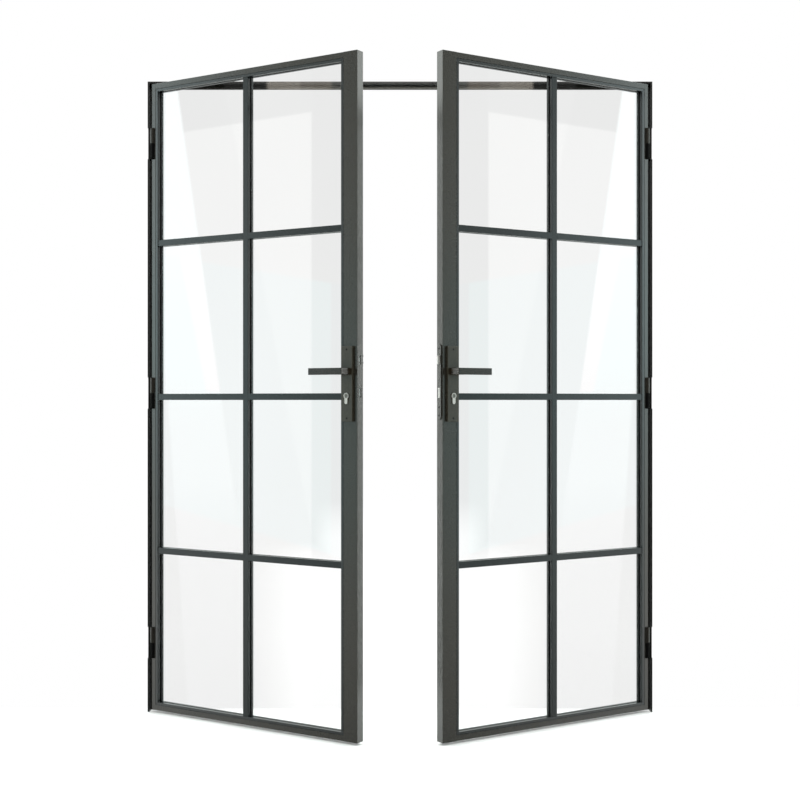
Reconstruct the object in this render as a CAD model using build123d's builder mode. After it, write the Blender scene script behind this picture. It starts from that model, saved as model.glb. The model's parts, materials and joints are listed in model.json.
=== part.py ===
"""A pair of glazed steel-look french doors in a thin L-angle frame, both leaves standing part open.

Axes: X along the frame, Y away from the viewer, Z up. The origin is on the floor, at the middle of
the frame, in the plane of the frame's front edge. Lengths are in millimetres.
"""

import math
import os

from build123d import *

os.makedirs("parts", exist_ok=True)

# Frame, an L angle along two jambs and a head
frame_width = 1646.0
frame_height = 2056.0
frame_depth = 40.0
web_thickness = 6.0
flange_width = 18.0
flange_thickness = 5.0
fixing_hole_radius = 4.0
fixing_hole_depth = 18.0
fixing_end_inset = 125.0
fixing_spacing = 500.0
head_fixing_span = 800.0

# Seal on the flange, pressed on when the leaf is shut
seal_width = 9.0
seal_base_thickness = 1.5
seal_clearance = 0.3
seal_end_gap = 0.5

# Leaf
leaf_thickness = 31.0
floor_gap = 7.5
head_gap = 2.5
hinge_gap = 5.5
meeting_gap = 4.0
opening_angle = 32.2
tube_wall = 2.0
tube_corner_radius = 0.8
hinge_stile_width = 17.0
rail_width = 17.0
lock_stile_width = 49.0
end_cap_thickness = 3.0

# Glazing
glass_thickness = 6.0
glass_edge_clearance = 3.0
tape_thickness = 1.0
tape_setback = 0.8
bead_width = 9.0
front_bead_setback = 0.2
rear_bead_setback = 2.5
bead_groove_width = 1.3
bead_groove_depth = 2.0
mitre_gap = 0.3
bar_width = 20.0
bar_setback = 2.0
bar_pitch_share = 0.2451
bar_edge_chamfer = 0.5

# Hinges, lift-off barrels in two halves
hinge_inset = 5.5
hinge_bottom_inset = 219.0
hinge_top_inset = 194.0
hinge_length = 100.0
barrel_radius = 7.5
barrel_notch_clearance = 0.5
hinge_end_clearance = 1.0
pin_radius = 4.0
pin_fit = 0.05
pin_end_cover = 4.0
pin_end_clearance = 1.0
hinge_joint_gap = 0.6
frame_wing_thickness = 5.0
frame_wing_depth = 24.0
jamb_notch_depth = 10.0
leaf_tang_width = 4.0
leaf_tang_start = 5.0
leaf_tang_depth = 14.0
hinge_block_margin = 8.0

# Handle set and lock
backset = 32.0
spindle_height = 1094.0
cylinder_drop = 72.0
plate_width = 40.0
plate_length = 223.0
plate_rise = 75.0
plate_thickness = 9.0
plate_edge_chamfer = 0.6
handle_clearance = 0.3
boss_size = 12.0
boss_setback = 4.0
neck_gap = 1.0
lever_length = 119.0
lever_height = 20.0
lever_grip_thickness = 10.0
lever_neck_width = 30.0
lever_projection = 50.0
lever_edge_chamfer = 0.8
spindle_size = 8.0
spindle_socket_depth = 18.0
spindle_hole_size = 13.0
hub_radius = 10.0
hub_sides = 8
knob_gap = 2.0
knob_thickness = 13.0
cylinder_radius = 8.5
cylinder_lobe_width = 10.0
cylinder_height = 33.0
cylinder_proud = 3.0
cylinder_clearance = 0.3
plug_radius = 6.4
plug_clearance = 0.2
keyway_width = 2.2
keyway_height = 8.5
keyway_depth = 9.0
cam_thickness = 10.0
cam_reach = 14.0
cam_width = 7.0
cam_clearance = 0.5

# Forend, strike and bolts
forend_width = 20.0
forend_length = 223.0
forend_rise = 80.5
forend_thickness = 3.0
bolt_clearance = 0.4
case_thickness = 18.0
case_wall = 1.5
case_rise = 57.0
case_drop = 119.0
case_back_gap = 3.0
tab_depth = 4.0
tab_height = 20.0
latch_height = 26.0
latch_thickness = 11.0
latch_rise = 34.0
latch_proud = 11.0
latch_head_length = 23.0
latch_nose_thickness = 3.5
latch_tail_length = 16.0
latch_tail_height = 12.0
latch_tail_thickness = 6.0
dead_bolt_height = 30.0
dead_bolt_thickness = 10.0
dead_bolt_rise = 9.0
dead_bolt_proud = 0.4
dead_bolt_throw = 12.0
dead_bolt_head_length = 17.0
dead_bolt_tail_margin = 8.0
dead_bolt_tail_height = 7.0
bolt_edge_chamfer = 0.6
strike_clearance = 0.8
strike_box_wall = 0.8
strike_box_end_gap = 1.5
strike_lip_height = 40.0
strike_ear_pitch = 20.0
strike_ear_rise = 2.0
strike_ear_width = 5.0
strike_ear_proud = 1.5

# Shoot bolts of the passive leaf
rod_size = 10.0
rod_clearance = 0.5
rod_backset = 22.0
rod_case_engagement = 26.0
rod_travel = 14.0
head_bolt_hole_clearance = 1.5

# How far a cut runs past the surface it opens
overrun = 5.0

# Values that follow from the sizes above
half_width = frame_width / 2
web_inside = half_width - web_thickness
flange_inside = half_width - flange_width
flange_front = frame_depth - flange_thickness
leaf_height = frame_height - web_thickness - head_gap - floor_gap
leaf_width = web_inside - hinge_gap - meeting_gap / 2
hinge_x = web_inside - hinge_gap - hinge_inset
hinge_low = hinge_bottom_inset
hinge_high = leaf_height - hinge_top_inset
hinge_heights = [hinge_low, (hinge_low + hinge_high) / 2, hinge_high]
fixing_heights = [
    fixing_end_inset,
    fixing_end_inset + fixing_spacing,
    frame_height - fixing_end_inset - fixing_spacing,
    frame_height - fixing_end_inset,
]
half_hinge = hinge_length / 2
lock_tube_start = leaf_width - lock_stile_width
sight_left = hinge_stile_width + bead_width
sight_right = lock_tube_start - bead_width
sight_bottom = rail_width + bead_width
sight_top = leaf_height - sight_bottom
bar_middle = (sight_left + sight_right) / 2
bar_heights = [leaf_height * (0.5 + step * bar_pitch_share) for step in (-1, 0, 1)]
glass_front = (leaf_thickness - glass_thickness) / 2
glass_back = glass_front + glass_thickness
spindle_x = leaf_width - backset
cylinder_z = spindle_height - cylinder_drop
plate_bottom = spindle_height + plate_rise - plate_length
forend_bottom = spindle_height + forend_rise - forend_length
forend_middle = forend_bottom + forend_length / 2
tab_heights = [forend_bottom + tab_height / 2, forend_bottom + forend_length - tab_height / 2]
latch_middle_height = spindle_height + latch_rise
dead_bolt_middle_height = cylinder_z + dead_bolt_rise
case_bottom = spindle_height - case_drop
case_height = case_drop + case_rise
strike_ear_middle = latch_middle_height + strike_ear_rise
strike_ear_heights = [strike_ear_middle - strike_ear_pitch / 2, strike_ear_middle + strike_ear_pitch / 2]
half_thickness = leaf_thickness / 2
cam_front = half_thickness - cam_thickness / 2
cam_space = cam_reach + cam_clearance
latch_front = half_thickness - latch_thickness / 2
latch_back = half_thickness + latch_thickness / 2
latch_bevel_share = meeting_gap / latch_proud
latch_entry_back = latch_back - (latch_thickness - latch_nose_thickness) * latch_bevel_share
bolt_front = half_thickness - dead_bolt_thickness / 2
bolt_back = half_thickness + dead_bolt_thickness / 2
lever_end_x = spindle_x + lever_neck_width / 2
lever_front = plate_thickness + lever_projection
neck_base = plate_thickness + neck_gap
boss_hole_radius = math.hypot(boss_size, boss_size) / 2 + handle_clearance
case_left = lock_tube_start + tube_wall + case_back_gap
case_top = case_bottom + case_height
rod_x = leaf_width - rod_backset
rod_hole_size = rod_size + rod_clearance * 2
knob_start = leaf_thickness + plate_thickness + knob_gap

# Planes of the open left leaf: plan, front face and lock edge, from its lower front hinge corner
turn = math.radians(opening_angle)
along = Vector(math.cos(turn), -math.sin(turn), 0)
inward = Vector(math.sin(turn), math.cos(turn), 0)
corner = Vector(-hinge_x, 0, floor_gap) - along * hinge_inset
plan = Plane(origin=corner, x_dir=along, z_dir=(0, 0, 1))
face = Plane(origin=corner, x_dir=along, z_dir=-inward)
edge = Plane(origin=corner + along * leaf_width, x_dir=inward, z_dir=along)


def at_depth(depth):
    """The plane parallel to the leaf's face, this far behind it."""
    return face.offset(-depth)


def save(part, node):
    """Label one sub-part and write its STEP file."""
    part.label = node
    export_step(part, f"parts/{node}.step")


def save_pair(left_part, name):
    """Write a sub-part of the left leaf and its mirror image on the right leaf."""
    save(left_part, f"left_{name}")
    with BuildPart() as twin:
        mirror(left_part, about=Plane.YZ)
    save(twin.part, f"right_{name}")


def span(x0, y0, x1, y1, mode=Mode.ADD):
    """A rectangle between two corners, in the sketch that is open."""
    with Locations(((x0 + x1) / 2, (y0 + y1) / 2)):
        Rectangle(x1 - x0, y1 - y0, mode=mode)


def tube_section(x0, y0, x1, y1, outer_side):
    """A tube's section with the two corners on its outer side rounded."""
    span(x0, y0, x1, y1)
    fillet(vertices().sort_by(outer_side)[:2], radius=tube_corner_radius)
    span(x0 + tube_wall, y0 + tube_wall, x1 - tube_wall, y1 - tube_wall, mode=Mode.SUBTRACT)


def euro_section(clearance):
    """The keyhole outline of the lock cylinder, grown by a clearance."""
    lobe_half = cylinder_lobe_width / 2
    lobe_end = cylinder_z + cylinder_radius - cylinder_height + lobe_half
    with Locations((spindle_x, cylinder_z)):
        Circle(cylinder_radius + clearance)
    span(spindle_x - lobe_half - clearance, lobe_end, spindle_x + lobe_half + clearance, cylinder_z)
    with Locations((spindle_x, lobe_end)):
        Circle(lobe_half + clearance)


# Jambs: the L angle, mitred at the top, notched for the hinges and drilled for its fixings
with BuildPart() as left_jamb:
    with BuildSketch(Plane.XY):
        with BuildLine():
            Polyline(
                (-half_width, 0),
                (-web_inside, 0),
                (-web_inside, flange_front),
                (-flange_inside, flange_front),
                (-flange_inside, frame_depth),
                (-half_width, frame_depth),
                close=True,
            )
        make_face()
    extrude(amount=frame_height)
    with BuildSketch(Plane.XZ):
        with BuildLine():
            Polyline(
                (-half_width - overrun, frame_height + overrun),
                (-flange_inside + overrun, frame_height - flange_width - overrun),
                (-flange_inside + overrun, frame_height + overrun),
                close=True,
            )
        make_face()
    extrude(amount=-frame_depth - overrun, both=True, mode=Mode.SUBTRACT)
    with BuildSketch(Plane.XZ):
        for height in hinge_heights:
            low = floor_gap + height - half_hinge - hinge_end_clearance
            high = floor_gap + height + half_hinge + hinge_end_clearance
            span(-half_width - overrun, low, -web_inside + overrun, high)
    extrude(amount=-jamb_notch_depth, mode=Mode.SUBTRACT)
    with BuildSketch(Plane.YZ.offset(-half_width)):
        with Locations(*[(fixing_hole_depth, height) for height in fixing_heights]):
            Circle(fixing_hole_radius)
    extrude(amount=web_thickness, mode=Mode.SUBTRACT)
save_pair(left_jamb.part, "jamb")

# Head: the same angle, mitred at both ends, with a hole for the passive leaf's upper bolt
with BuildPart() as frame_head:
    with BuildSketch(Plane.YZ):
        with BuildLine():
            Polyline(
                (0, frame_height),
                (0, frame_height - web_thickness),
                (flange_front, frame_height - web_thickness),
                (flange_front, frame_height - flange_width),
                (frame_depth, frame_height - flange_width),
                (frame_depth, frame_height),
                close=True,
            )
        make_face()
    extrude(amount=half_width, both=True)
    with BuildSketch(Plane.XZ):
        for side in (-1, 1):
            with BuildLine():
                Polyline(
                    (side * (half_width + overrun), frame_height + overrun),
                    (side * (flange_inside - overrun), frame_height - flange_width - overrun),
                    (side * (half_width + overrun), frame_height - flange_width - overrun),
                    close=True,
                )
            make_face()
    extrude(amount=-frame_depth - overrun, both=True, mode=Mode.SUBTRACT)
    with BuildSketch(Plane.XY.offset(frame_height)):
        with Locations((-head_fixing_span / 2, fixing_hole_depth), (head_fixing_span / 2, fixing_hole_depth)):
            Circle(fixing_hole_radius)
        head_hole_size = rod_size + head_bolt_hole_clearance * 2
        with Locations((-hinge_x - hinge_inset + rod_x, half_thickness)):
            Rectangle(head_hole_size, head_hole_size)
    extrude(amount=-web_thickness, mode=Mode.SUBTRACT)
save(frame_head.part, "frame_head")

# Seal: a rounded strip on the front of the flange, in three lengths
seal_front = leaf_thickness + seal_clearance
seal_start = (web_inside + flange_inside - seal_width) / 2
seal_middle = seal_start + seal_width / 2
seal_head_top = frame_height - half_width + seal_start + seal_width
seal_head_bottom = seal_head_top - seal_width
with BuildPart() as frame_seal:
    with BuildSketch(Plane.XY):
        for side in (-1, 1):
            with BuildLine():
                Polyline(
                    (side * seal_start, flange_front - seal_base_thickness),
                    (side * seal_start, flange_front),
                    (side * (seal_start + seal_width), flange_front),
                    (side * (seal_start + seal_width), flange_front - seal_base_thickness),
                )
                ThreePointArc(
                    (side * (seal_start + seal_width), flange_front - seal_base_thickness),
                    (side * seal_middle, seal_front),
                    (side * seal_start, flange_front - seal_base_thickness),
                )
            make_face()
    extrude(amount=seal_head_bottom - seal_end_gap)
    with BuildSketch(Plane.YZ):
        with BuildLine():
            Polyline(
                (flange_front - seal_base_thickness, seal_head_bottom),
                (flange_front, seal_head_bottom),
                (flange_front, seal_head_top),
                (flange_front - seal_base_thickness, seal_head_top),
            )
            ThreePointArc(
                (flange_front - seal_base_thickness, seal_head_top),
                (seal_front, (seal_head_bottom + seal_head_top) / 2),
                (flange_front - seal_base_thickness, seal_head_bottom),
            )
        make_face()
    extrude(amount=seal_start + seal_width, both=True)
save(frame_seal.part, "frame_seal")

# Lower hinge halves on the jambs, each a barrel and wing with the pin standing in it
with BuildPart() as left_frame_knuckles:
    for height in hinge_heights:
        with BuildSketch(Plane.XY.offset(floor_gap + height - half_hinge)):
            with Locations((-hinge_x, 0)):
                Circle(barrel_radius)
            span(-web_inside, 0, -web_inside + frame_wing_thickness, frame_wing_depth)
        extrude(amount=half_hinge - hinge_joint_gap / 2)
        with BuildSketch(Plane.XY.offset(floor_gap + height - hinge_joint_gap / 2)):
            with Locations((-hinge_x, 0)):
                Circle(pin_radius)
        extrude(amount=half_hinge - pin_end_cover - pin_end_clearance)
save_pair(left_frame_knuckles.part, "frame_knuckles")

# Upper hinge halves, each a capped barrel with a tang let into the hinge stile
with BuildPart() as left_leaf_knuckles:
    for height in hinge_heights:
        with BuildSketch(plan.offset(height + hinge_joint_gap / 2)):
            with Locations((hinge_inset, 0)):
                Circle(barrel_radius)
            tang_left = hinge_inset - leaf_tang_width / 2
            span(tang_left, leaf_tang_start, tang_left + leaf_tang_width, leaf_tang_depth)
        extrude(amount=half_hinge - hinge_joint_gap / 2)
        with BuildSketch(plan.offset(height)):
            with Locations((hinge_inset, 0)):
                Circle(pin_radius + pin_fit)
        extrude(amount=half_hinge - pin_end_cover, mode=Mode.SUBTRACT)
save_pair(left_leaf_knuckles.part, "leaf_knuckles")

# Hinge stile: a capped tube with a block at each hinge, stepped back for the barrel
with BuildPart() as left_hinge_stile:
    with BuildSketch(plan):
        tube_section(0, 0, hinge_stile_width, leaf_thickness, Axis.X)
    extrude(amount=leaf_height)
    block_half = half_hinge + hinge_block_margin
    fillings = [(height - block_half, block_half * 2) for height in hinge_heights]
    fillings += [(0, end_cap_thickness), (leaf_height - end_cap_thickness, end_cap_thickness)]
    for bottom, length in fillings:
        with BuildSketch(plan.offset(bottom)):
            span(tube_wall, tube_wall, hinge_stile_width - tube_wall, leaf_thickness - tube_wall)
        extrude(amount=length)
    for height in hinge_heights:
        with BuildSketch(plan.offset(height - half_hinge - hinge_end_clearance)):
            notch_end = barrel_radius + barrel_notch_clearance
            span(-overrun, -overrun, hinge_inset + notch_end, notch_end)
        extrude(amount=hinge_length + hinge_end_clearance * 2, mode=Mode.SUBTRACT)
        with BuildSketch(plan.offset(height + hinge_joint_gap / 2)):
            tang_left = hinge_inset - leaf_tang_width / 2
            span(tang_left, leaf_tang_start, tang_left + leaf_tang_width, leaf_tang_depth)
        extrude(amount=half_hinge - hinge_joint_gap / 2, mode=Mode.SUBTRACT)
save_pair(left_hinge_stile.part, "hinge_stile")

# Top and bottom rails, tubes between the stiles
rail_plane = edge.offset(hinge_stile_width - leaf_width)
rail_length = lock_tube_start - hinge_stile_width
with BuildPart() as left_bottom_rail:
    with BuildSketch(rail_plane):
        tube_section(0, 0, leaf_thickness, rail_width, Axis.Y)
    extrude(amount=rail_length)
save_pair(left_bottom_rail.part, "bottom_rail")

with BuildPart() as left_top_rail:
    with BuildSketch(rail_plane):
        tube_section(0, leaf_height - rail_width, leaf_thickness, leaf_height, -Axis.Y)
    extrude(amount=rail_length)
save_pair(left_top_rail.part, "top_rail")

# Glass, one sheet in each leaf
glass_left = hinge_stile_width + glass_edge_clearance
glass_right = lock_tube_start - glass_edge_clearance
glass_bottom = rail_width + glass_edge_clearance
glass_top = leaf_height - glass_bottom
with BuildPart() as left_glass:
    with BuildSketch(at_depth(glass_front)):
        span(glass_left, glass_bottom, glass_right, glass_top)
    extrude(amount=-glass_thickness)
save_pair(left_glass.part, "glass")

# Glazing tape on both sides of the glass, under the beads and the bars
column_edges = [
    (sight_left, bar_middle - bar_width / 2),
    (bar_middle + bar_width / 2, sight_right),
]
row_starts = [sight_bottom] + [height + bar_width / 2 for height in bar_heights]
row_ends = [height - bar_width / 2 for height in bar_heights] + [sight_top]
with BuildPart() as left_glazing_tape:
    for depth in (glass_front - tape_thickness, glass_back):
        with BuildSketch(at_depth(depth)):
            span(glass_left, glass_bottom, glass_right, glass_top)
            for left, right in column_edges:
                for low, high in zip(row_starts, row_ends):
                    span(
                        left - tape_setback,
                        low - tape_setback,
                        right + tape_setback,
                        high + tape_setback,
                        mode=Mode.SUBTRACT,
                    )
        extrude(amount=-tape_thickness)
save_pair(left_glazing_tape.part, "glazing_tape")


def bead_ring(shown, hidden):
    """Four beads mitred at the corners, with a shadow groove next to the tubes."""
    forward = 1 if shown < hidden else -1
    groove_floor = shown + forward * bead_groove_depth
    layers = [(groove_floor, hidden, 0), (shown, groove_floor, bead_groove_width)]
    with BuildPart() as beads:
        for start, end, trim in layers:
            with BuildSketch(at_depth(start)):
                span(
                    hinge_stile_width + trim,
                    rail_width + trim,
                    lock_tube_start - trim,
                    leaf_height - rail_width - trim,
                )
                span(sight_left, sight_bottom, sight_right, sight_top, mode=Mode.SUBTRACT)
            extrude(amount=start - end)
        with BuildSketch(at_depth(shown)):
            for x, x_sign in ((sight_left, 1), (sight_right, -1)):
                for y, y_sign in ((sight_bottom, 1), (sight_top, -1)):
                    with Locations((x, y)):
                        Rectangle(bead_width * 4, mitre_gap, rotation=45 * x_sign * y_sign)
        extrude(amount=shown - hidden, mode=Mode.SUBTRACT)
    return beads.part


def upright_bar(shown, hidden):
    """The glazing bar that runs the full height of the sight opening."""
    with BuildPart() as bar:
        with BuildSketch(at_depth(hidden)):
            span(bar_middle - bar_width / 2, sight_bottom, bar_middle + bar_width / 2, sight_top)
        extrude(amount=hidden - shown)
        rim = bar.faces().sort_by(Axis(corner, inward))[-1 if shown > hidden else 0]
        chamfer(rim.edges().filter_by(Axis.Z), length=bar_edge_chamfer)
    return bar.part


def cross_bars(shown, hidden):
    """The glazing bars between the beads and the upright bar, in three rows."""
    with BuildPart() as bars:
        for left, right in column_edges:
            for height in bar_heights:
                with BuildSketch(at_depth(hidden)):
                    span(left, height - bar_width / 2, right, height + bar_width / 2)
                extrude(amount=hidden - shown)
        rims = bars.faces().group_by(Axis(corner, inward))[-1 if shown > hidden else 0]
        chamfer(rims.edges().filter_by(Axis.Z, reverse=True), length=bar_edge_chamfer)
    return bars.part


bead_front = front_bead_setback
bead_back = leaf_thickness - rear_bead_setback
for side_name, bead_face, bar_face, hidden in (
    ("front", bead_front, bar_setback, glass_front - tape_thickness),
    ("rear", bead_back, leaf_thickness - bar_setback, glass_back + tape_thickness),
):
    save_pair(bead_ring(bead_face, hidden), f"{side_name}_beads")
    save_pair(upright_bar(bar_face, hidden), f"{side_name}_upright_bar")
    save_pair(cross_bars(bar_face, hidden), f"{side_name}_cross_bars")


def lock_openings():
    """The openings that the cylinder and spindle pass through, hidden under the handle plates."""
    cylinder_half = cylinder_radius + cylinder_clearance
    cylinder_top = cylinder_z + cylinder_half
    cylinder_bottom = cylinder_z + cylinder_radius - cylinder_height - cylinder_clearance
    span(spindle_x - cylinder_half, cylinder_bottom, spindle_x + cylinder_half, cylinder_top)
    with Locations((spindle_x, spindle_height)):
        Rectangle(spindle_hole_size, spindle_hole_size)


def forend_section(lip_end):
    """The long plate's outline on the lock edge; with a lip, it reaches the leaf's back edge too."""
    with Locations((half_thickness, forend_middle)):
        SlotOverall(forend_length, forend_width, rotation=90)
    if lip_end:
        lip_half = strike_lip_height / 2
        span(half_thickness, latch_middle_height - lip_half, lip_end, latch_middle_height + lip_half)


def bolt_holes(clearance, latch_rear, mode):
    """The openings for the latch and the dead bolt in whatever lies on the lock edge."""
    for front, back, middle, height in (
        (latch_front, latch_rear, latch_middle_height, latch_height),
        (bolt_front, bolt_back, dead_bolt_middle_height, dead_bolt_height),
    ):
        half = height / 2 + clearance
        span(front - clearance, middle - half, back + clearance, middle + half, mode=mode)


def lock_stile(passive):
    """The wide stile: a capped tube cut for its lock or strike, the cylinder and the spindle."""
    with BuildPart() as stile:
        with BuildSketch(plan):
            tube_section(lock_tube_start, 0, leaf_width, leaf_thickness, -Axis.X)
        extrude(amount=leaf_height)
        for bottom in (0, leaf_height - end_cap_thickness):
            with BuildSketch(plan.offset(bottom)):
                span(
                    lock_tube_start + tube_wall,
                    tube_wall,
                    leaf_width - tube_wall,
                    leaf_thickness - tube_wall,
                )
                if passive:
                    with Locations((rod_x, half_thickness)):
                        Rectangle(rod_hole_size, rod_hole_size, mode=Mode.SUBTRACT)
            extrude(amount=end_cap_thickness)
        with BuildSketch(edge.offset(-tube_wall)):
            for height in tab_heights:
                span(tube_wall, height - tab_height / 2, leaf_thickness - tube_wall, height + tab_height / 2)
        extrude(amount=-tab_depth)
        with BuildSketch(edge):
            if passive:
                forend_section(leaf_thickness + overrun)
            else:
                bolt_holes(bolt_clearance, latch_back, Mode.ADD)
        extrude(amount=-forend_thickness, mode=Mode.SUBTRACT)
        with BuildSketch(face):
            lock_openings()
        extrude(amount=-leaf_thickness, mode=Mode.SUBTRACT)
    return stile.part


save(lock_stile(True), "left_lock_stile")
with BuildPart() as right_lock_stile:
    mirror(lock_stile(False), about=Plane.YZ)
save(right_lock_stile.part, "right_lock_stile")

# Strike let into the passive leaf's edge, with holes for latch and dead bolt and a two-eared lip
with BuildPart() as strike_plate:
    with BuildSketch(edge):
        forend_section(leaf_thickness)
        for height in strike_ear_heights:
            ear_half = strike_ear_width / 2
            span(half_thickness, height - ear_half, leaf_thickness + strike_ear_proud, height + ear_half)
        bolt_holes(strike_clearance, latch_entry_back, Mode.SUBTRACT)
    extrude(amount=-forend_thickness)
save(strike_plate.part, "left_strike_plate")

# Closed boxes behind the strike's two holes
latch_box_depth = latch_proud - meeting_gap + strike_box_end_gap
bolt_box_depth = forend_thickness + dead_bolt_proud + dead_bolt_throw - meeting_gap + strike_box_end_gap
strike_boxes_hollow = (
    (latch_front, latch_entry_back, latch_middle_height, latch_height, latch_box_depth),
    (bolt_front, bolt_back, dead_bolt_middle_height, dead_bolt_height, bolt_box_depth),
)
with BuildPart() as strike_boxes:
    for grow, cut in ((strike_clearance + strike_box_wall, Mode.ADD), (strike_clearance, Mode.SUBTRACT)):
        for front, back, middle, height, depth in strike_boxes_hollow:
            half = height / 2 + grow
            with BuildSketch(edge.offset(-forend_thickness)):
                span(front - grow, middle - half, back + grow, middle + half)
            extrude(amount=forend_thickness - depth - grow + strike_clearance, mode=cut)
save(strike_boxes.part, "left_strike_boxes")

# Forend on the active leaf's edge
with BuildPart() as forend:
    with BuildSketch(edge):
        forend_section(0)
        bolt_holes(bolt_clearance, latch_back, Mode.SUBTRACT)
    extrude(amount=forend_thickness)
with BuildPart() as right_forend:
    mirror(forend.part, about=Plane.YZ)
save(right_forend.part, "right_lock_forend")


def lock_case(end, rod_holes):
    """A thin case inside the stile, open towards its edge, holed for spindle, cylinder and rods."""
    case_front = half_thickness - case_thickness / 2
    case_back = half_thickness + case_thickness / 2
    with BuildPart() as case:
        with BuildSketch(plan.offset(case_bottom)):
            span(case_left, case_front, end, case_back)
        extrude(amount=case_height)
        with BuildSketch(plan.offset(case_bottom + case_wall)):
            span(case_left + case_wall, case_front + case_wall, end, case_back - case_wall)
        extrude(amount=case_height - case_wall * 2, mode=Mode.SUBTRACT)
        with BuildSketch(face):
            lock_openings()
        extrude(amount=-leaf_thickness, mode=Mode.SUBTRACT)
        with BuildSketch(at_depth(cam_front - cam_clearance)):
            span(case_left, cylinder_z - cam_space, case_left + case_wall, cylinder_z + cam_space)
        extrude(amount=-cam_thickness - cam_clearance * 2, mode=Mode.SUBTRACT)
        if rod_holes:
            with BuildSketch(plan.offset(case_bottom)):
                with Locations((rod_x, half_thickness)):
                    Rectangle(rod_hole_size, rod_hole_size)
            extrude(amount=case_height, mode=Mode.SUBTRACT)
    return case.part


save(lock_case(leaf_width - forend_thickness, True), "left_bolt_case")
with BuildPart() as right_lock_case:
    mirror(lock_case(leaf_width - tube_wall, False), about=Plane.YZ)
save(right_lock_case.part, "right_lock_case")

# Latch bolt and dead bolt of the active leaf
with BuildPart() as latch_bolt:
    latch_tip = leaf_width + latch_proud
    latch_root = latch_tip - latch_head_length
    with BuildSketch(plan.offset(latch_middle_height - latch_height / 2)):
        with BuildLine():
            Polyline(
                (latch_root, latch_front),
                (latch_tip, latch_front),
                (latch_tip, latch_front + latch_nose_thickness),
                (leaf_width, latch_back),
                (latch_root, latch_back),
                close=True,
            )
        make_face()
    extrude(amount=latch_height)
    with BuildSketch(plan.offset(latch_middle_height - latch_tail_height / 2)):
        span(
            latch_root - latch_tail_length,
            half_thickness - latch_tail_thickness / 2,
            latch_root,
            half_thickness + latch_tail_thickness / 2,
        )
    extrude(amount=latch_tail_height)
with BuildPart() as right_latch_bolt:
    mirror(latch_bolt.part, about=Plane.YZ)
save(right_latch_bolt.part, "right_latch_bolt")

with BuildPart() as dead_bolt:
    bolt_tip = leaf_width + forend_thickness + dead_bolt_proud
    bolt_root = bolt_tip - dead_bolt_head_length
    bolt_top = dead_bolt_middle_height + dead_bolt_height / 2
    with BuildSketch(at_depth(bolt_front)):
        span(bolt_root, bolt_top - dead_bolt_height, bolt_tip, bolt_top)
        tail_end = bolt_root - dead_bolt_throw - dead_bolt_tail_margin
        span(tail_end, bolt_top - dead_bolt_tail_height, bolt_root, bolt_top)
    extrude(amount=-dead_bolt_thickness)
    chamfer(dead_bolt.faces().sort_by(Axis(corner, along))[-1].edges(), length=bolt_edge_chamfer)
with BuildPart() as right_dead_bolt:
    mirror(dead_bolt.part, about=Plane.YZ)
save(right_dead_bolt.part, "right_dead_bolt")

# Shoot bolts of the passive leaf, square rods drawn in, their inner ends held by the bolt case
with BuildPart() as top_rod:
    with BuildSketch(plan.offset(case_top - rod_case_engagement)):
        with Locations((rod_x, half_thickness)):
            Rectangle(rod_size, rod_size)
    extrude(amount=leaf_height - case_top + rod_case_engagement)
    chamfer(top_rod.edges().group_by(Axis.Z)[-1], length=bolt_edge_chamfer)
save(top_rod.part, "left_top_bolt")

with BuildPart() as bottom_rod:
    with BuildSketch(plan):
        with Locations((rod_x, half_thickness)):
            Rectangle(rod_size, rod_size)
    extrude(amount=case_bottom + rod_travel)
    chamfer(bottom_rod.edges().group_by(Axis.Z)[0], length=bolt_edge_chamfer)
save(bottom_rod.part, "left_bottom_bolt")

# Long handle plates on both faces of the lock stile
with BuildPart() as left_handle_plates:
    for start, forward in ((0, 1), (leaf_thickness, -1)):
        with BuildSketch(at_depth(start)):
            span(
                spindle_x - plate_width / 2,
                plate_bottom,
                spindle_x + plate_width / 2,
                plate_bottom + plate_length,
            )
        extrude(amount=forward * plate_thickness)
    outer_faces = left_handle_plates.faces().sort_by(Axis(corner, inward))
    chamfer(outer_faces[0].edges() + outer_faces[-1].edges(), length=plate_edge_chamfer)
    with BuildSketch(at_depth(-plate_thickness)):
        euro_section(cylinder_clearance)
        with Locations((spindle_x, spindle_height)):
            Circle(boss_hole_radius)
    extrude(amount=-leaf_thickness - plate_thickness * 2, mode=Mode.SUBTRACT)
save_pair(left_handle_plates.part, "handle_plates")

# Lock cylinder body, bored for the plug in front and cut away round the cam
cylinder_front = -plate_thickness - cylinder_proud
cylinder_back = leaf_thickness + plate_thickness + cylinder_proud
with BuildPart() as left_cylinder:
    with BuildSketch(at_depth(cylinder_front)):
        euro_section(0)
    extrude(amount=cylinder_front - cylinder_back)
    with BuildSketch(at_depth(cylinder_front)):
        with Locations((spindle_x, cylinder_z)):
            Circle(plug_radius + plug_clearance)
    extrude(amount=cylinder_front - cam_front, mode=Mode.SUBTRACT)
    with BuildSketch(at_depth(cam_front - cam_clearance)):
        span(spindle_x - cam_space, cylinder_z - cam_space, spindle_x + cam_space, cylinder_z + cam_space)
    extrude(amount=-cam_thickness - cam_clearance * 2, mode=Mode.SUBTRACT)
    with BuildSketch(at_depth(cylinder_back)):
        with Locations((spindle_x, cylinder_z)):
            Rectangle(keyway_width, keyway_height)
    extrude(amount=keyway_depth, mode=Mode.SUBTRACT)
save_pair(left_cylinder.part, "cylinder")

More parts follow.
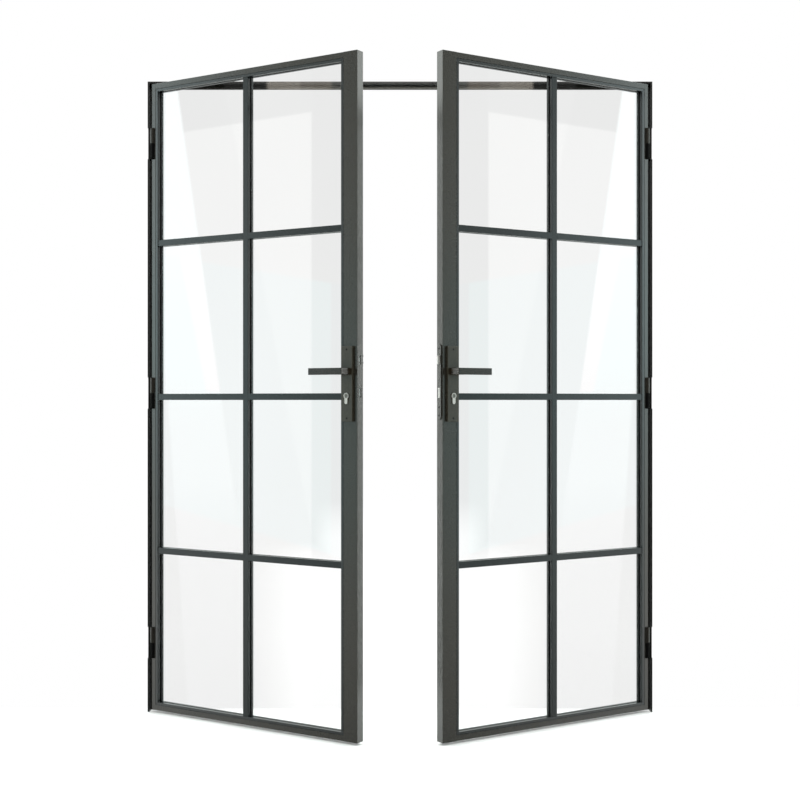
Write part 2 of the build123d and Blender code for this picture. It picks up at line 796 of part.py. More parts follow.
# Cylinder plug with its keyway and the cam that it turns
with BuildPart() as left_cylinder_plug:
    with BuildSketch(at_depth(cylinder_front)):
        with Locations((spindle_x, cylinder_z)):
            Circle(plug_radius)
    extrude(amount=cylinder_front - cam_front)
    with BuildSketch(at_depth(cam_front)):
        cam_half = cam_width / 2
        cam_end = cylinder_z - cam_reach + cam_clearance
        span(spindle_x - cam_half, cam_end, spindle_x + cam_half, cylinder_z + plug_radius - cam_clearance)
    extrude(amount=-cam_thickness)
    with BuildSketch(at_depth(cylinder_front)):
        with Locations((spindle_x, cylinder_z)):
            Rectangle(keyway_width, keyway_height)
    extrude(amount=-keyway_depth, mode=Mode.SUBTRACT)
save_pair(left_cylinder_plug.part, "cylinder_plug")

# Lever handle: a square-cornered grip and neck on a square boss, socketed for the spindle
with BuildPart() as left_lever:
    with BuildSketch(plan.offset(spindle_height - lever_height / 2)):
        with BuildLine():
            Polyline(
                (lever_end_x - lever_length, -lever_front),
                (lever_end_x, -lever_front),
                (lever_end_x, -neck_base),
                (lever_end_x - lever_neck_width, -neck_base),
                (lever_end_x - lever_neck_width, -lever_front + lever_grip_thickness),
                (lever_end_x - lever_length, -lever_front + lever_grip_thickness),
                close=True,
            )
        make_face()
    extrude(amount=lever_height)
    chamfer(left_lever.edges(), length=lever_edge_chamfer)
    with BuildSketch(at_depth(-neck_base)):
        with Locations((spindle_x, spindle_height)):
            Rectangle(boss_size, boss_size)
    extrude(amount=boss_setback - neck_base)
    with BuildSketch(at_depth(-boss_setback)):
        with Locations((spindle_x, spindle_height)):
            Rectangle(spindle_size, spindle_size)
    extrude(amount=spindle_socket_depth, mode=Mode.SUBTRACT)
save_pair(left_lever.part, "lever")

# Low square knob on the rear end of the spindle, with the lever neck's section
with BuildPart() as left_rear_knob:
    with BuildSketch(at_depth(knob_start)):
        with Locations((spindle_x, spindle_height)):
            Rectangle(lever_neck_width, lever_height)
    extrude(amount=-knob_thickness)
    chamfer(left_rear_knob.edges(), length=lever_edge_chamfer)
    with BuildSketch(at_depth(knob_start)):
        with Locations((spindle_x, spindle_height)):
            Rectangle(boss_size, boss_size)
    extrude(amount=knob_start - leaf_thickness - boss_setback)
    with BuildSketch(at_depth(leaf_thickness + boss_setback)):
        with Locations((spindle_x, spindle_height)):
            Rectangle(spindle_size, spindle_size)
    extrude(amount=-plate_thickness, mode=Mode.SUBTRACT)
save_pair(left_rear_knob.part, "rear_knob")

# Square spindle between lever and knob, with the eight-sided hub that draws the bolts
spindle_front = -boss_setback - spindle_socket_depth
spindle_back = leaf_thickness + boss_setback + plate_thickness
hub_length = case_thickness - case_wall * 2 - bolt_clearance * 2
with BuildPart() as left_spindle:
    with BuildSketch(at_depth(spindle_front)):
        with Locations((spindle_x, spindle_height)):
            Rectangle(spindle_size, spindle_size)
    extrude(amount=spindle_front - spindle_back)
    with BuildSketch(at_depth(half_thickness - hub_length / 2)):
        with Locations((spindle_x, spindle_height)):
            RegularPolygon(hub_radius, hub_sides)
    extrude(amount=-hub_length)
save_pair(left_spindle.part, "spindle")
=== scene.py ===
"""Looks for the french doors: powder-coated leaves and frame, clear glass, satin lock steel."""

import json
import math
import bpy
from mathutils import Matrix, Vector


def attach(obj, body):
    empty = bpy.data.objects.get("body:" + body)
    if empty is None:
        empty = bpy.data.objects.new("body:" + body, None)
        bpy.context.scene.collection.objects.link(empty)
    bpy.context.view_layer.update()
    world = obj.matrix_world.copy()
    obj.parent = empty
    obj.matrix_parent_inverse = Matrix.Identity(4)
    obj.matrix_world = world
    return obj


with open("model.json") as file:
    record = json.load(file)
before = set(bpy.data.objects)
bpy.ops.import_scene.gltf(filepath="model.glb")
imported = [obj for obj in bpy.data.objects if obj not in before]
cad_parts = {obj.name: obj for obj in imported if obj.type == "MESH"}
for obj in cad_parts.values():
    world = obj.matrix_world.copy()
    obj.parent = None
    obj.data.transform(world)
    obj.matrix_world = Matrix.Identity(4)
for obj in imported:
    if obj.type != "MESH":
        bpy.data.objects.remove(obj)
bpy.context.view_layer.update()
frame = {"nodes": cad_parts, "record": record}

scene = bpy.context.scene
scene.view_settings.view_transform = "Standard"

# Camera fitted to the photograph, in metres and pixels, with a sensor in millimetres
camera_distance = 4.3375
camera_height = 1.0174
focal_pixels = 1330.0
picture_pixels = 800.0
sensor_width = 36.0

# Grains of the materials in cells per metre, edges and relief in metres
coat_grain = 900.0
coat_detail = 3.0
coat_breakup = 0.6
coat_rough_spread = 0.15
coat_relief = 0.00003
coat_relief_strength = 0.35
coat_edge = 0.0006
mottle_grain = 360.0
fleck_grain = 380.0
fleck_detail = 1.0
fleck_low = 0.43
fleck_high = 0.57
steel_grain = 400.0
steel_detail = 3.0
steel_stretch = (1.0, 1.0, 12.0)
steel_rough_spread = 0.2
steel_edge = 0.0004
rubber_grain = 500.0
rubber_rough_low = 0.65
rubber_rough_high = 0.8
glass_grain = 1.5
glass_ior = 1.52
bevel_samples = 4

# Where painted light greys the coat in the middle of the frame's head and painted shade darkens its
# seal towards the jambs: going up, and going sideways
painted_light_heights = (2.02, 2.04)
painted_light_and_shade_span = (0.3, 0.44)


def new_material(name):
    """An empty node material, its tree and its output node."""
    material = bpy.data.materials.new(name)
    material.use_nodes = True
    tree = material.node_tree
    tree.nodes.clear()
    output = tree.nodes.new("ShaderNodeOutputMaterial")
    return material, tree, output


def noise(tree, scale, detail=2.0, rough=0.5):
    """Noise in the object's own coordinates; scale counts cells per metre."""
    coords = tree.nodes.new("ShaderNodeTexCoord")
    node = tree.nodes.new("ShaderNodeTexNoise")
    node.inputs["Scale"].default_value = scale
    node.inputs["Detail"].default_value = detail
    node.inputs["Roughness"].default_value = rough
    tree.links.new(coords.outputs["Object"], node.inputs["Vector"])
    return node.outputs["Fac"]


def ranged(tree, value, low, high, start=0.3, end=0.7):
    """A value mapped from start..end to low..high."""
    node = tree.nodes.new("ShaderNodeMapRange")
    node.inputs["From Min"].default_value = start
    node.inputs["From Max"].default_value = end
    node.inputs["To Min"].default_value = low
    node.inputs["To Max"].default_value = high
    tree.links.new(value, node.inputs["Value"])
    return node.outputs["Result"]


def speckled(tree, grain, dark, light):
    """A colour that goes from dark to light with a grain."""
    node = tree.nodes.new("ShaderNodeMix")
    node.data_type = "RGBA"
    node.inputs["A"].default_value = (*dark, 1.0)
    node.inputs["B"].default_value = (*light, 1.0)
    tree.links.new(ranged(tree, grain, 0.0, 1.0), node.inputs["Factor"])
    return node.outputs["Result"]


def reckoned(tree, operation, first, second):
    """One sum or product of two values; a plain number may take a socket's place."""
    node = tree.nodes.new("ShaderNodeMath")
    node.operation = operation
    for socket, value in zip(node.inputs, (first, second)):
        if isinstance(value, float):
            socket.default_value = value
        else:
            tree.links.new(value, socket)
    return node.outputs["Value"]


def added(tree, first, second):
    """Two colours added; the second may be a grey value."""
    node = tree.nodes.new("ShaderNodeVectorMath")
    node.operation = "ADD"
    tree.links.new(first, node.inputs[0])
    tree.links.new(second, node.inputs[1])
    return node.outputs["Vector"]


def scaled(tree, colour, share):
    """A colour times a share; a plain colour may take a socket's place."""
    node = tree.nodes.new("ShaderNodeVectorMath")
    node.operation = "SCALE"
    if isinstance(colour, tuple):
        node.inputs[0].default_value = colour
    else:
        tree.links.new(colour, node.inputs[0])
    tree.links.new(share, node.inputs["Scale"])
    return node.outputs["Vector"]


def apart(tree, kind):
    """The X, Y and Z of one kind of coordinates."""
    coords = tree.nodes.new("ShaderNodeTexCoord")
    split = tree.nodes.new("ShaderNodeSeparateXYZ")
    tree.links.new(coords.outputs[kind], split.inputs["Vector"])
    return split.outputs


def rounded(tree, radius):
    """A normal that rounds the edges by a small radius."""
    bevel = tree.nodes.new("ShaderNodeBevel")
    bevel.samples = bevel_samples
    bevel.inputs["Radius"].default_value = radius
    return bevel.outputs["Normal"]


def coat(name, dark, light, rough, ior, head=0.0):
    """A speckled powder coat with rounded edges, greyer by head in the middle of the frame's head,
    which is painted light.
    """
    material, tree, output = new_material(name)
    bsdf = tree.nodes.new("ShaderNodeBsdfPrincipled")
    speckle = noise(tree, coat_grain, coat_detail, coat_breakup)
    colour = speckled(tree, speckle, dark, light)
    if head:
        # Painted light: grey added to the colour high on the frame's head, fading out towards the
        # jambs
        place = apart(tree, "Object")
        high = ranged(tree, place["Z"], 0.0, head, *painted_light_heights)
        sideways = reckoned(tree, "ABSOLUTE", place["X"], 0.0)
        inner = ranged(tree, sideways, 1.0, 0.0, *painted_light_and_shade_span)
        colour = added(tree, colour, reckoned(tree, "MULTIPLY", high, inner))
    tree.links.new(colour, bsdf.inputs["Base Color"])
    mottle = noise(tree, mottle_grain)
    smooth = rough * (1.0 - coat_rough_spread)
    coarse = rough * (1.0 + coat_rough_spread)
    tree.links.new(ranged(tree, mottle, smooth, coarse), bsdf.inputs["Roughness"])
    bsdf.inputs["IOR"].default_value = ior
    fleck = ranged(tree, noise(tree, fleck_grain, fleck_detail), fleck_low, fleck_high)
    tree.links.new(fleck, bsdf.inputs["Specular IOR Level"])
    relief = tree.nodes.new("ShaderNodeBump")
    relief.inputs["Strength"].default_value = coat_relief_strength
    relief.inputs["Distance"].default_value = coat_relief
    tree.links.new(speckle, relief.inputs["Height"])
    tree.links.new(rounded(tree, coat_edge), relief.inputs["Normal"])
    tree.links.new(relief.outputs["Normal"], bsdf.inputs["Normal"])
    tree.links.new(bsdf.outputs["BSDF"], output.inputs["Surface"])
    return material


def steel(name, dark, light, rough, metal=1.0):
    """Satin metal with a fine brushed grain."""
    material, tree, output = new_material(name)
    bsdf = tree.nodes.new("ShaderNodeBsdfPrincipled")
    coords = tree.nodes.new("ShaderNodeTexCoord")
    mapping = tree.nodes.new("ShaderNodeMapping")
    mapping.inputs["Scale"].default_value = steel_stretch
    tree.links.new(coords.outputs["Object"], mapping.inputs["Vector"])
    brushed = tree.nodes.new("ShaderNodeTexNoise")
    brushed.inputs["Scale"].default_value = steel_grain
    brushed.inputs["Detail"].default_value = steel_detail
    tree.links.new(mapping.outputs["Vector"], brushed.inputs["Vector"])
    grain = brushed.outputs["Fac"]
    tree.links.new(speckled(tree, grain, dark, light), bsdf.inputs["Base Color"])
    smooth = rough * (1.0 - steel_rough_spread)
    coarse = rough * (1.0 + steel_rough_spread)
    tree.links.new(ranged(tree, grain, smooth, coarse), bsdf.inputs["Roughness"])
    bsdf.inputs["Metallic"].default_value = metal
    tree.links.new(rounded(tree, steel_edge), bsdf.inputs["Normal"])
    tree.links.new(bsdf.outputs["BSDF"], output.inputs["Surface"])
    return material


def rubber(name, dark, light, painted_shade_share=1.0):
    """Matt rubber, tape or liner; its last argument is the share of its colour that is left towards
    the jambs, as painted shade.
    """
    material, tree, output = new_material(name)
    bsdf = tree.nodes.new("ShaderNodeBsdfPrincipled")
    grain = noise(tree, rubber_grain)
    # Painted shade: the colour falls towards the jambs, down to the given share
    place = apart(tree, "Object")
    sideways = reckoned(tree, "ABSOLUTE", place["X"], 0.0)
    share = ranged(tree, sideways, 1.0, painted_shade_share, *painted_light_and_shade_span)
    colour = scaled(tree, speckled(tree, grain, dark, light), share)
    tree.links.new(colour, bsdf.inputs["Base Color"])
    rough = ranged(tree, grain, rubber_rough_low, rubber_rough_high)
    tree.links.new(rough, bsdf.inputs["Roughness"])
    tree.links.new(bsdf.outputs["BSDF"], output.inputs["Surface"])
    return material


def clear_glass(name, dark, light):
    """Thin clear sheet: tinted see-through with a mirror share that grows at grazing angles."""
    material, tree, output = new_material(name)
    through = tree.nodes.new("ShaderNodeBsdfTransparent")
    waver = noise(tree, glass_grain)
    tree.links.new(speckled(tree, waver, dark, light), through.inputs["Color"])
    shine = tree.nodes.new("ShaderNodeBsdfGlossy")
    shine.inputs["Roughness"].default_value = 0.0
    fresnel = tree.nodes.new("ShaderNodeFresnel")
    geometry = tree.nodes.new("ShaderNodeNewGeometry")
    ior = ranged(tree, geometry.outputs["Backfacing"], glass_ior, 1.0 / glass_ior, 0.0, 1.0)
    tree.links.new(ior, fresnel.inputs["IOR"])
    mix = tree.nodes.new("ShaderNodeMixShader")
    tree.links.new(fresnel.outputs["Fac"], mix.inputs["Fac"])
    tree.links.new(through.outputs["BSDF"], mix.inputs[1])
    tree.links.new(shine.outputs["BSDF"], mix.inputs[2])
    tree.links.new(mix.outputs["Shader"], output.inputs["Surface"])
    return material


# Colours, from the dark to the light end of each grain
frame_dark = (0.005, 0.0052, 0.005)
frame_light = (0.008, 0.0083, 0.008)
leaf_dark = (0.0155, 0.0143, 0.011)
leaf_light = (0.0218, 0.0204, 0.0163)
# Beads and bars wear the leaf's own coat; their cooler tint is a painted reflection
bar_dark_painted_cool = (0.0095, 0.0125, 0.0133)
bar_light_painted_cool = (0.0145, 0.018, 0.019)
plate_dark = (0.023, 0.0195, 0.013)
plate_light = (0.031, 0.0265, 0.018)
lever_dark = (0.009, 0.0048, 0.002)
lever_light = (0.013, 0.0078, 0.004)
# Both hinge halves are one satin black coat: the upper half's lighter colour is a painted highlight,
# the lower half's near-black colour with little shine is painted shade
upper_hinge_dark_painted_highlight = (0.013, 0.0115, 0.009)
upper_hinge_light_painted_highlight = (0.019, 0.017, 0.0135)
lower_hinge_dark_painted_shade = (0.002, 0.002, 0.002)
lower_hinge_light_painted_shade = (0.004, 0.004, 0.004)
pin_dark = (0.35, 0.35, 0.36)
pin_light = (0.45, 0.45, 0.46)
seal_dark = (0.13, 0.122, 0.11)
seal_light = (0.155, 0.146, 0.131)
tape_dark = (0.006, 0.006, 0.006)
tape_light = (0.012, 0.012, 0.012)
strike_box_dark = (0.5, 0.52, 0.51)
strike_box_light = (0.56, 0.58, 0.57)
glass_dark = (0.926, 0.928, 0.928)
glass_light = (0.934, 0.936, 0.936)
lock_dark = (0.42, 0.395, 0.37)
lock_light = (0.52, 0.49, 0.46)
# The plug is the lock's own steel, darkened to paint the dark reflection in its face: painted shade
plug_dark_painted_shade = (0.15, 0.145, 0.13)
plug_light_painted_shade = (0.21, 0.203, 0.185)
bolt_dark = (0.45, 0.445, 0.425)
bolt_light = (0.53, 0.525, 0.505)
case_dark = (0.3, 0.3, 0.3)
case_light = (0.4, 0.4, 0.4)

looks = {
    # The frame coat carries painted light in the middle of its head
    "frame_coat": coat("frame coat", frame_dark, frame_light, rough=0.25, ior=1.42, head=0.03),
    "leaf_coat": coat("leaf coat", leaf_dark, leaf_light, rough=0.2, ior=1.53),
    # Bead and bar coats: cooler copies of the leaf coat, tinted by painted reflection
    "bead_coat": coat("bead coat", bar_dark_painted_cool, bar_light_painted_cool, rough=0.2, ior=1.5),
    "bar_coat": coat("bar coat", bar_dark_painted_cool, bar_light_painted_cool, rough=0.2, ior=1.36),
    "plate_coat": coat("plate coat", plate_dark, plate_light, rough=0.24, ior=1.45),
    "lever_coat": coat("lever coat", lever_dark, lever_light, rough=0.2, ior=1.48),
    "forend_coat": coat("forend coat", leaf_dark, leaf_light, rough=0.2, ior=1.6),
    "strike_coat": coat("strike coat", leaf_dark, leaf_light, rough=0.2, ior=1.6),
    # Upper hinge coat: painted highlight; lower hinge coat: painted shade, near-black with little
    # shine
    "upper_hinge_coat": coat(
        "upper hinge coat", upper_hinge_dark_painted_highlight, upper_hinge_light_painted_highlight, rough=0.25, ior=1.3
    ),
    "lower_hinge_coat": coat(
        "lower hinge coat", lower_hinge_dark_painted_shade, lower_hinge_light_painted_shade, rough=0.5, ior=1.12
    ),
    "pin_steel": steel("pin steel", pin_dark, pin_light, rough=0.35),
    # The seal keeps only a small share of its colour towards the jambs: painted shade
    "seal_rubber": rubber("seal rubber", seal_dark, seal_light, painted_shade_share=0.08),
    "glazing_tape": rubber("glazing tape", tape_dark, tape_light),
    "strike_box": rubber("strike box", strike_box_dark, strike_box_light),
    "clear_glass": clear_glass("clear glass", glass_dark, glass_light),
    "lock_steel": steel("lock steel", lock_dark, lock_light, rough=0.38),
    "plug_steel": steel("plug steel", plug_dark_painted_shade, plug_light_painted_shade, rough=0.35),
    "bolt_steel": steel("bolt steel", bolt_dark, bolt_light, rough=0.5, metal=0.55),
    "case_steel": steel("case steel", case_dark, case_light, rough=0.45),
}

slots = {part["node"]: part["material_slot"] for part in frame["record"]["subparts"]}
for node, piece in frame["nodes"].items():
    piece.data.materials.clear()
    piece.data.materials.append(looks[slots[node]])

# Screw heads, ring by ring from the foot into the socket: share of radius, share of rise, hexagonal
screw_rings = [
    (1.0, 0.0, False),
    (1.0, 0.6, False),
    (0.8, 1.0, False),
    (0.5, 1.0, True),
    (0.45, 0.1, True),
]
screw_steps = 24
socket_sector = math.pi / 3.0


def screw_head(name, body, place, out, radius, rise):
    """A low round head with a hexagon socket, standing on an upright face and moving with a body."""
    side = (-out[1], out[0])
    points = []
    faces = []
    for ring, (share, lift, hexagonal) in enumerate(screw_rings):
        for step in range(screw_steps):
            angle = 2.0 * math.pi * step / screw_steps
            spoke = radius * share
            if hexagonal:
                turn = angle % socket_sector - socket_sector / 2.0
                spoke *= math.cos(socket_sector / 2.0) / math.cos(turn)
            across = spoke * math.cos(angle)
            x = place[0] + side[0] * across + out[0] * lift * rise
            y = place[1] + side[1] * across + out[1] * lift * rise
            z = place[2] + spoke * math.sin(angle)
            points.append((x, y, z))
        if ring:
            outer = (ring - 1) * screw_steps
            inner = ring * screw_steps
            for step in range(screw_steps):
                after = (step + 1) % screw_steps
                faces.append((outer + step, outer + after, inner + after, inner + step))
    last = (len(screw_rings) - 1) * screw_steps
    faces.append(tuple(range(last, last + screw_steps)))
    mesh = bpy.data.meshes.new(name)
    mesh.from_pydata(points, [], faces)
    # The near-black lower hinge coat paints shade into the head and its socket
    mesh.materials.append(looks["lower_hinge_coat"])
    head = bpy.data.objects.new(name, mesh)
    scene.collection.objects.link(head)
    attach(head, body)


# Screws of the handle plates and the forend, placed on the leaves as they stand open
open_turn = math.radians(32.2)
hinge_axis = -0.806
corner_offset = 0.0055
leaf_foot = 0.0075
plate_screw_heights = (0.956, 1.159)
plate_screw_radius = 0.0026
plate_screw_rise = 0.0005
plate_middle = 0.7775
plate_front = -0.009
plate_rear = 0.04
forend_screw_heights = (0.9646, 0.989, 1.1615)
forend_screw_radius = 0.003
forend_screw_rise = 0.0004
forend_face = 0.8125
forend_middle = 0.0155
millimetres = 1000
corner_x = hinge_axis - corner_offset * math.cos(open_turn)
corner_y = corner_offset * math.sin(open_turn)


def on_leaf(side, along, depth, height):
    """A point given along, into and up a leaf; side is -1 for the left leaf and 1 for the right."""
    x = corner_x + along * math.cos(open_turn) + depth * math.sin(open_turn)
    y = corner_y - along * math.sin(open_turn) + depth * math.cos(open_turn)
    return (-side * x, y, leaf_foot + height)


for side, body in ((-1, "left_leaf"), (1, "right_leaf")):
    towards = (side * math.sin(open_turn), -math.cos(open_turn), 0.0)
    away = tuple(-value for value in towards)
    for height in plate_screw_heights:
        name = f"{body}_plate_screw_{round(height * millimetres)}"
        front_place = on_leaf(side, plate_middle, plate_front, height)
        screw_head(name, body, front_place, towards, plate_screw_radius, plate_screw_rise)
        rear_place = on_leaf(side, plate_middle, plate_rear, height)
        screw_head(name + "_rear", body, rear_place, away, plate_screw_radius, plate_screw_rise)
edge_out = (-math.cos(open_turn), -math.sin(open_turn), 0.0)
for height in forend_screw_heights:
    name = f"right_leaf_forend_screw_{round(height * millimetres)}"
    edge_place = on_leaf(1, forend_face, forend_middle, height)
    screw_head(name, "right_leaf", edge_place, edge_out, forend_screw_radius, forend_screw_rise)

# Floor: pale, white to the camera where nothing shades it, left out of reflections
floor_reach = 12.0
floor_grain = 4.0
floor_dark = (0.8, 0.8, 0.8)
floor_light = (0.82, 0.82, 0.82)
floor_glow = 0.12
behind_frame = (0.0, 0.06)
wide_level = 0.22
wide_bearings = (0.066, 0.112)
wide_depths = (4.0, 5.2)
narrow_level = 0.2
narrow_bearings = (0.05, 0.066)
narrow_depths = (5.5, 9.0)
floor_corners = [
    (-floor_reach, -floor_reach, 0.0),
    (floor_reach, -floor_reach, 0.0),
    (floor_reach, floor_reach, 0.0),
    (-floor_reach, floor_reach, 0.0),
]
floor_mesh = bpy.data.meshes.new("floor")
floor_mesh.from_pydata(floor_corners, [], [(0, 1, 2, 3)])
floor = bpy.data.objects.new("floor", floor_mesh)
scene.collection.objects.link(floor)
material, tree, output = new_material("pale floor")
matt = tree.nodes.new("ShaderNodeBsdfDiffuse")
grain = noise(tree, floor_grain)
tree.links.new(speckled(tree, grain, floor_dark, floor_light), matt.inputs["Color"])
path = tree.nodes.new("ShaderNodeLightPath")
place = apart(tree, "Object")
glow = tree.nodes.new("ShaderNodeEmission")
lift = reckoned(tree, "MULTIPLY", path.outputs["Is Camera Ray"], floor_glow)
tree.links.new(lift, glow.inputs["Strength"])
near = tree.nodes.new("ShaderNodeAddShader")
tree.links.new(matt.outputs["BSDF"], near.inputs[0])
tree.links.new(glow.outputs["Emission"], near.inputs[1])

# The floor behind the frame shines, most of all in two patches that the glass is seen against
far = tree.nodes.new("ShaderNodeEmission")
sideways = reckoned(tree, "ABSOLUTE", place["X"], 0.0)
distance = reckoned(tree, "ADD", place["Y"], camera_distance)
bearing = reckoned(tree, "DIVIDE", sideways, distance)
patches = []
for level, bearings, depths in (
    (wide_level, wide_bearings, wide_depths),
    (narrow_level, narrow_bearings, narrow_depths),
):
    within = ranged(tree, bearing, level, 0.0, *bearings)
    nearer = ranged(tree, place["Y"], 1.0, 0.0, *depths)
    patches.append(reckoned(tree, "MULTIPLY", within, nearer))
bright = reckoned(tree, "MAXIMUM", patches[0], patches[1])
tree.links.new(reckoned(tree, "ADD", bright, 1.0), far.inputs["Strength"])
blend = tree.nodes.new("ShaderNodeMixShader")
behind = ranged(tree, place["Y"], 0.0, 1.0, *behind_frame)
shown = reckoned(tree, "MULTIPLY", behind, path.outputs["Is Camera Ray"])
tree.links.new(shown, blend.inputs["Fac"])
tree.links.new(near.outputs["Shader"], blend.inputs[1])
tree.links.new(far.outputs["Emission"], blend.inputs[2])
gone = tree.nodes.new("ShaderNodeBsdfTransparent")
pick = tree.nodes.new("ShaderNodeMixShader")
tree.links.new(path.outputs["Is Glossy Ray"], pick.inputs["Fac"])
tree.links.new(blend.outputs["Shader"], pick.inputs[1])
tree.links.new(gone.outputs["BSDF"], pick.inputs[2])
tree.links.new(pick.outputs["Shader"], output.inputs["Surface"])
floor_mesh.materials.append(material)

# World: a studio with softboxes at the sides, dim on the camera's side, white to the camera
world = bpy.data.worlds.new("studio")
world.use_nodes = True
scene.world = world
sky = world.node_tree
sky.nodes.clear()
output = sky.nodes.new("ShaderNodeOutputWorld")
gaze = apart(sky, "Generated")
sideways = reckoned(sky, "ABSOLUTE", gaze["X"], 0.0)
folded = sky.nodes.new("ShaderNodeCombineXYZ")
sky.links.new(reckoned(sky, "MULTIPLY", sideways, -1.0), folded.inputs["X"])
sky.links.new(gaze["Y"], folded.inputs["Y"])
sky.links.new(gaze["Z"], folded.inputs["Z"])
curve_top = 4.0
mask_softness = 0.001


def curve(value, points):
    """A value from -1 to 1 looked up on a curve through points of place and level."""
    spread = ranged(sky, value, 0.0, 1.0, -1.0, 1.0)
    ramp = sky.nodes.new("ShaderNodeValToRGB")
    stops = ramp.color_ramp.elements
    while len(stops) > 1:
        stops.remove(stops[-1])
    for index, (place, level) in enumerate(points):
        position = (place + 1.0) / 2.0
        grey = level / curve_top
        stop = stops[0] if index == 0 else stops.new(position)
        stop.position = position
        stop.color = (grey, grey, grey, 1.0)
    sky.links.new(spread, ramp.inputs["Fac"])
    return reckoned(sky, "MULTIPLY", ramp.outputs["Color"], curve_top)


def seen_in_leaf(point):
    """Where a picture point on the left leaf's glass looks after its reflection."""
    x = (point[0] - picture_pixels / 2) / focal_pixels
    y = 1.0
    z = (picture_pixels / 2 - point[1]) / focal_pixels
    across = x * math.sin(open_turn) + y * math.cos(open_turn)
    mirrored_x = x - 2 * across * math.sin(open_turn)
    mirrored_y = y - 2 * across * math.cos(open_turn)
    return Vector((mirrored_x, mirrored_y, z))


def beside(start, end, inside):
    """A mask with a straight edge that runs between two picture points in the glass."""
    normal = seen_in_leaf(start).cross(seen_in_leaf(end)).normalized()
    if normal.dot(seen_in_leaf(inside)) < 0.0:
        normal.negate()
    product = sky.nodes.new("ShaderNodeVectorMath")
    product.operation = "DOT_PRODUCT"
    sky.links.new(folded.outputs["Vector"], product.inputs[0])
    product.inputs[1].default_value = normal
    return ranged(sky, product.outputs["Value"], 0.0, 1.0, -mask_softness, mask_softness)


def product_of(masks):
    """Several masks multiplied together."""
    product = masks[0]
    for mask in masks[1:]:
        product = reckoned(sky, "MULTIPLY", product, mask)
    return product


# Light all around, by how far a direction points away from the camera along Y
around_levels = [
    (-1.0, 0.05),
    (-0.6, 0.4),
    (-0.45, 0.7),
    (-0.2, 0.7),
    (0.1, 1.2),
    (0.18, 0.5),
    (0.32, 0.5),
    (0.38, 4.0),
    (0.7, 3.8),
    (0.8, 1.2),
    (1.0, 1.1),
]
front_range = (-0.9, -0.6)
middle_range = (0.1, 0.17)
above_range = (0.05, 0.3)
above_level = 3.8
low_range = (-0.29, -0.17)
low_level = 0.35
ahead_range = (0.1, 0.3)
topped_range = (0.0, 0.15)
topped_level = 0.8
ahead_tint = (1.0, 1.0, 0.91)
astern_tint = (0.95, 1.0, 0.97)
above_tint = (1.0, 0.98, 0.94)
around = curve(gaze["Y"], around_levels)
front = ranged(sky, gaze["Y"], 1.0, 0.0, *front_range)
middle = ranged(sky, sideways, 1.0, 0.0, *middle_range)
above = ranged(sky, gaze["Z"], 0.0, above_level, *above_range)
low = ranged(sky, gaze["Z"], low_level, 1.0, *low_range)
ahead = ranged(sky, gaze["Y"], 1.0, 0.0, *ahead_range)
astern = reckoned(sky, "SUBTRACT", 1.0, ahead)
topped = ranged(sky, gaze["Z"], 1.0, topped_level, *topped_range)

# Softboxes beside the camera, by the edges that their reflections have in the left leaf's glass
key_edge = ((177.5, 90), (220, 392))
key_end = ((167, 385), (181, 600))
jamb_edge = ((161, 385), (164, 700))
stripe_edge = ((182, 265), (205, 385))
stripe_end = ((165, 392), (340, 392))
fill_edge = ((225, 90), (284, 392))
wall_end = ((311.5, 112), (311.5, 392))
wall_top = ((184, 132), (311.5, 112))
band_top = ((165, 256), (331, 283))
band_bottom = ((165, 505), (340, 557))
band_end = ((331, 112), (331, 392))
head_top = ((165, 81.2), (340, 81.2))
head_bottom = ((165, 90), (340, 90))
dark_end = ((267, 60), (267, 110))
pale_end = ((300, 60), (300, 110))
room_end = ((332, 60), (332, 110))
left = (150, 300)
centre = (250, 300)
right = (335, 300)
far_right = (360, 300)
high_centre = (250, 60)
band_centre = (250, 400)
low_centre = (250, 500)
camera_side_range = (-0.55, -0.45)
far_side_range = (0.0, 0.15)
aloft_range = (-0.02, 0.05)
key_levels = [
    (-1.0, 0.7),
    (-0.2, 0.85),
    (-0.135, 1.1),
    (-0.09, 1.35),
    (-0.06, 1.75),
    (-0.02, 1.8),
    (0.03, 2.4),
    (0.1, 2.9),
]
key_level = curve(gaze["Z"], key_levels)
aloft = ranged(sky, gaze["Z"], 0.0, 1.0, *aloft_range)
past_camera = ranged(sky, gaze["Y"], 0.0, 1.0, *camera_side_range)
before_side = ranged(sky, gaze["Y"], 1.0, 0.0, *far_side_range)
beside_camera = reckoned(sky, "MULTIPLY", past_camera, before_side)
upper = beside(*stripe_end, centre)
lower = beside(*stripe_end, low_centre)
past_key = [beside(*key_end, left), lower]
kept = reckoned(sky, "SUBTRACT", 1.0, product_of(past_key))
in_key = [beside(*key_edge, left), kept]
off_key = beside(*key_edge, right)
in_fill = beside(*fill_edge, right)
by_jamb = beside(*jamb_edge, left)
before_wall_end = beside(*wall_end, centre)
on_wall = [beside(*wall_top, centre), before_wall_end, low]
band_height = [beside(*band_top, band_centre), beside(*band_bottom, band_centre)]
in_band = band_height + [beside(*band_end, centre)]
in_stripe = in_key + [beside(*stripe_edge, right), upper] + in_band
over_head = [beside(*head_top, centre), beside(*head_bottom, high_centre)]
in_room = over_head + [beside(*dark_end, right), beside(*room_end, centre)]

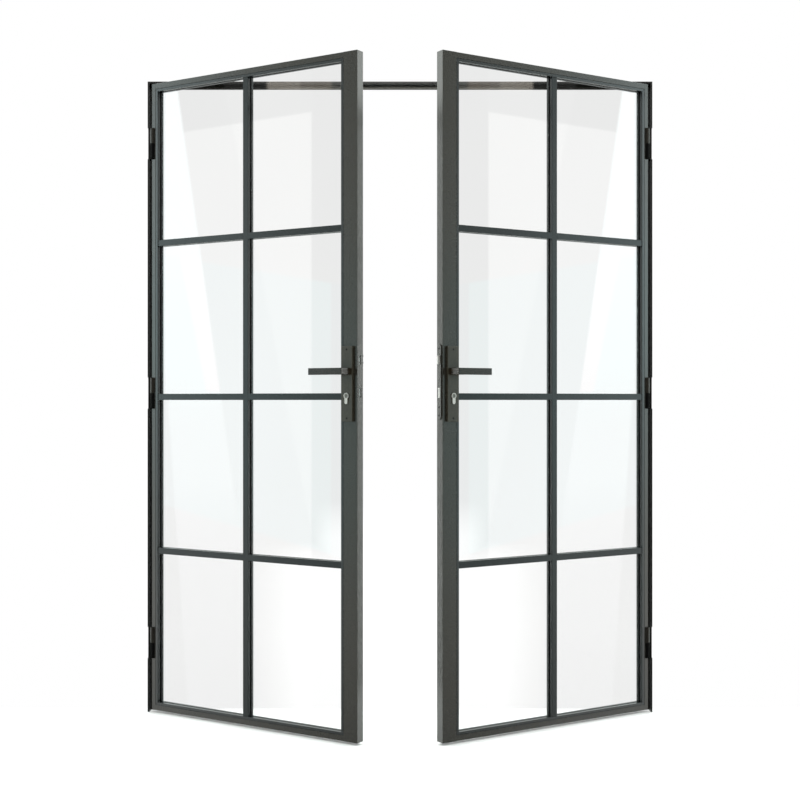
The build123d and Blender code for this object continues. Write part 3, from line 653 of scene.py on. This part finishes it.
# Each box has the masks that bound it and the light that it adds or takes
boxes = [
    (in_key + [key_level], (1.0, 1.0, 1.03)),
    (in_key + [aloft], (-0.45, 0.0, 0.0)),
    (in_key + in_band, (-0.3, 0.1, 0.1)),
    (in_stripe, (0.7, 0.0, 0.0)),
    (past_key + on_wall, (0.6, 0.6, 0.6)),
    (past_key + in_band, (0.1, 0.4, 0.45)),
    ([by_jamb, lower], (0.9, 0.95, 0.95)),
    ([by_jamb, upper], (0.5, 0.7, 0.75)),
    ([off_key] + on_wall, (1.1, 1.1, 1.08)),
    ([in_fill] + on_wall, (0.2, 0.2, 0.18)),
    ([in_fill, before_wall_end], (0.15, 0.15, 0.15)),
    ([off_key] + in_band, (-0.25, 0.15, 0.22)),
    ([beside(*wall_end, right)] + in_band, (0.2, 0.4, 0.35)),
    ([beside(*band_end, far_right)] + band_height, (-0.2, 0.0, 0.06)),
    (over_head + [beside(*dark_end, centre)], (-0.5, -0.5, -0.46)),
    (in_room, (0.9, 0.75, 0.6)),
    (in_room + [beside(*pale_end, centre)], (0.9, 0.85, 0.75)),
]
lights = [
    scaled(sky, ahead_tint, product_of([around, low, ahead, topped])),
    scaled(sky, astern_tint, product_of([around, low, astern])),
    scaled(sky, above_tint, product_of([front, middle, above])),
]
for masks, colour in boxes:
    lights.append(scaled(sky, colour, product_of([beside_camera] + masks)))
total = lights[0]
for light in lights[1:]:
    total = added(sky, total, light)
studio = sky.nodes.new("ShaderNodeBackground")
sky.links.new(total, studio.inputs["Color"])
white = sky.nodes.new("ShaderNodeBackground")
white.inputs["Color"].default_value = (1.0, 1.0, 1.0, 1.0)
white.inputs["Strength"].default_value = 1.0
path = sky.nodes.new("ShaderNodeLightPath")
pick = sky.nodes.new("ShaderNodeMixShader")
sky.links.new(path.outputs["Is Camera Ray"], pick.inputs["Fac"])
sky.links.new(studio.outputs["Background"], pick.inputs[1])
sky.links.new(white.outputs["Background"], pick.inputs[2])
sky.links.new(pick.outputs["Shader"], output.inputs["Surface"])

# A softbox overhead, tipped a little so that it points at the foot of the doors
overhead_back = 0.3
overhead_height = 4.6
overhead_width = 5.0
overhead_length = 4.0
overhead_watts = 130.0
lamp_data = bpy.data.lights.new("overhead", "AREA")
lamp_data.shape = "RECTANGLE"
lamp_data.size = overhead_width
lamp_data.size_y = overhead_length
lamp_data.energy = overhead_watts
lamp = bpy.data.objects.new("overhead", lamp_data)
lamp.location = (0.0, -overhead_back, overhead_height)
lamp.rotation_euler = (math.atan2(overhead_back, overhead_height), 0.0, 0.0)
scene.collection.objects.link(lamp)

camera_data = bpy.data.cameras.new("camera")
camera_data.sensor_width = sensor_width
camera_data.lens = sensor_width * focal_pixels / picture_pixels
camera = bpy.data.objects.new("camera", camera_data)
camera.location = (0.0, -camera_distance, camera_height)
camera.rotation_euler = (math.pi / 2, 0.0, 0.0)
scene.collection.objects.link(camera)
scene.camera = camera
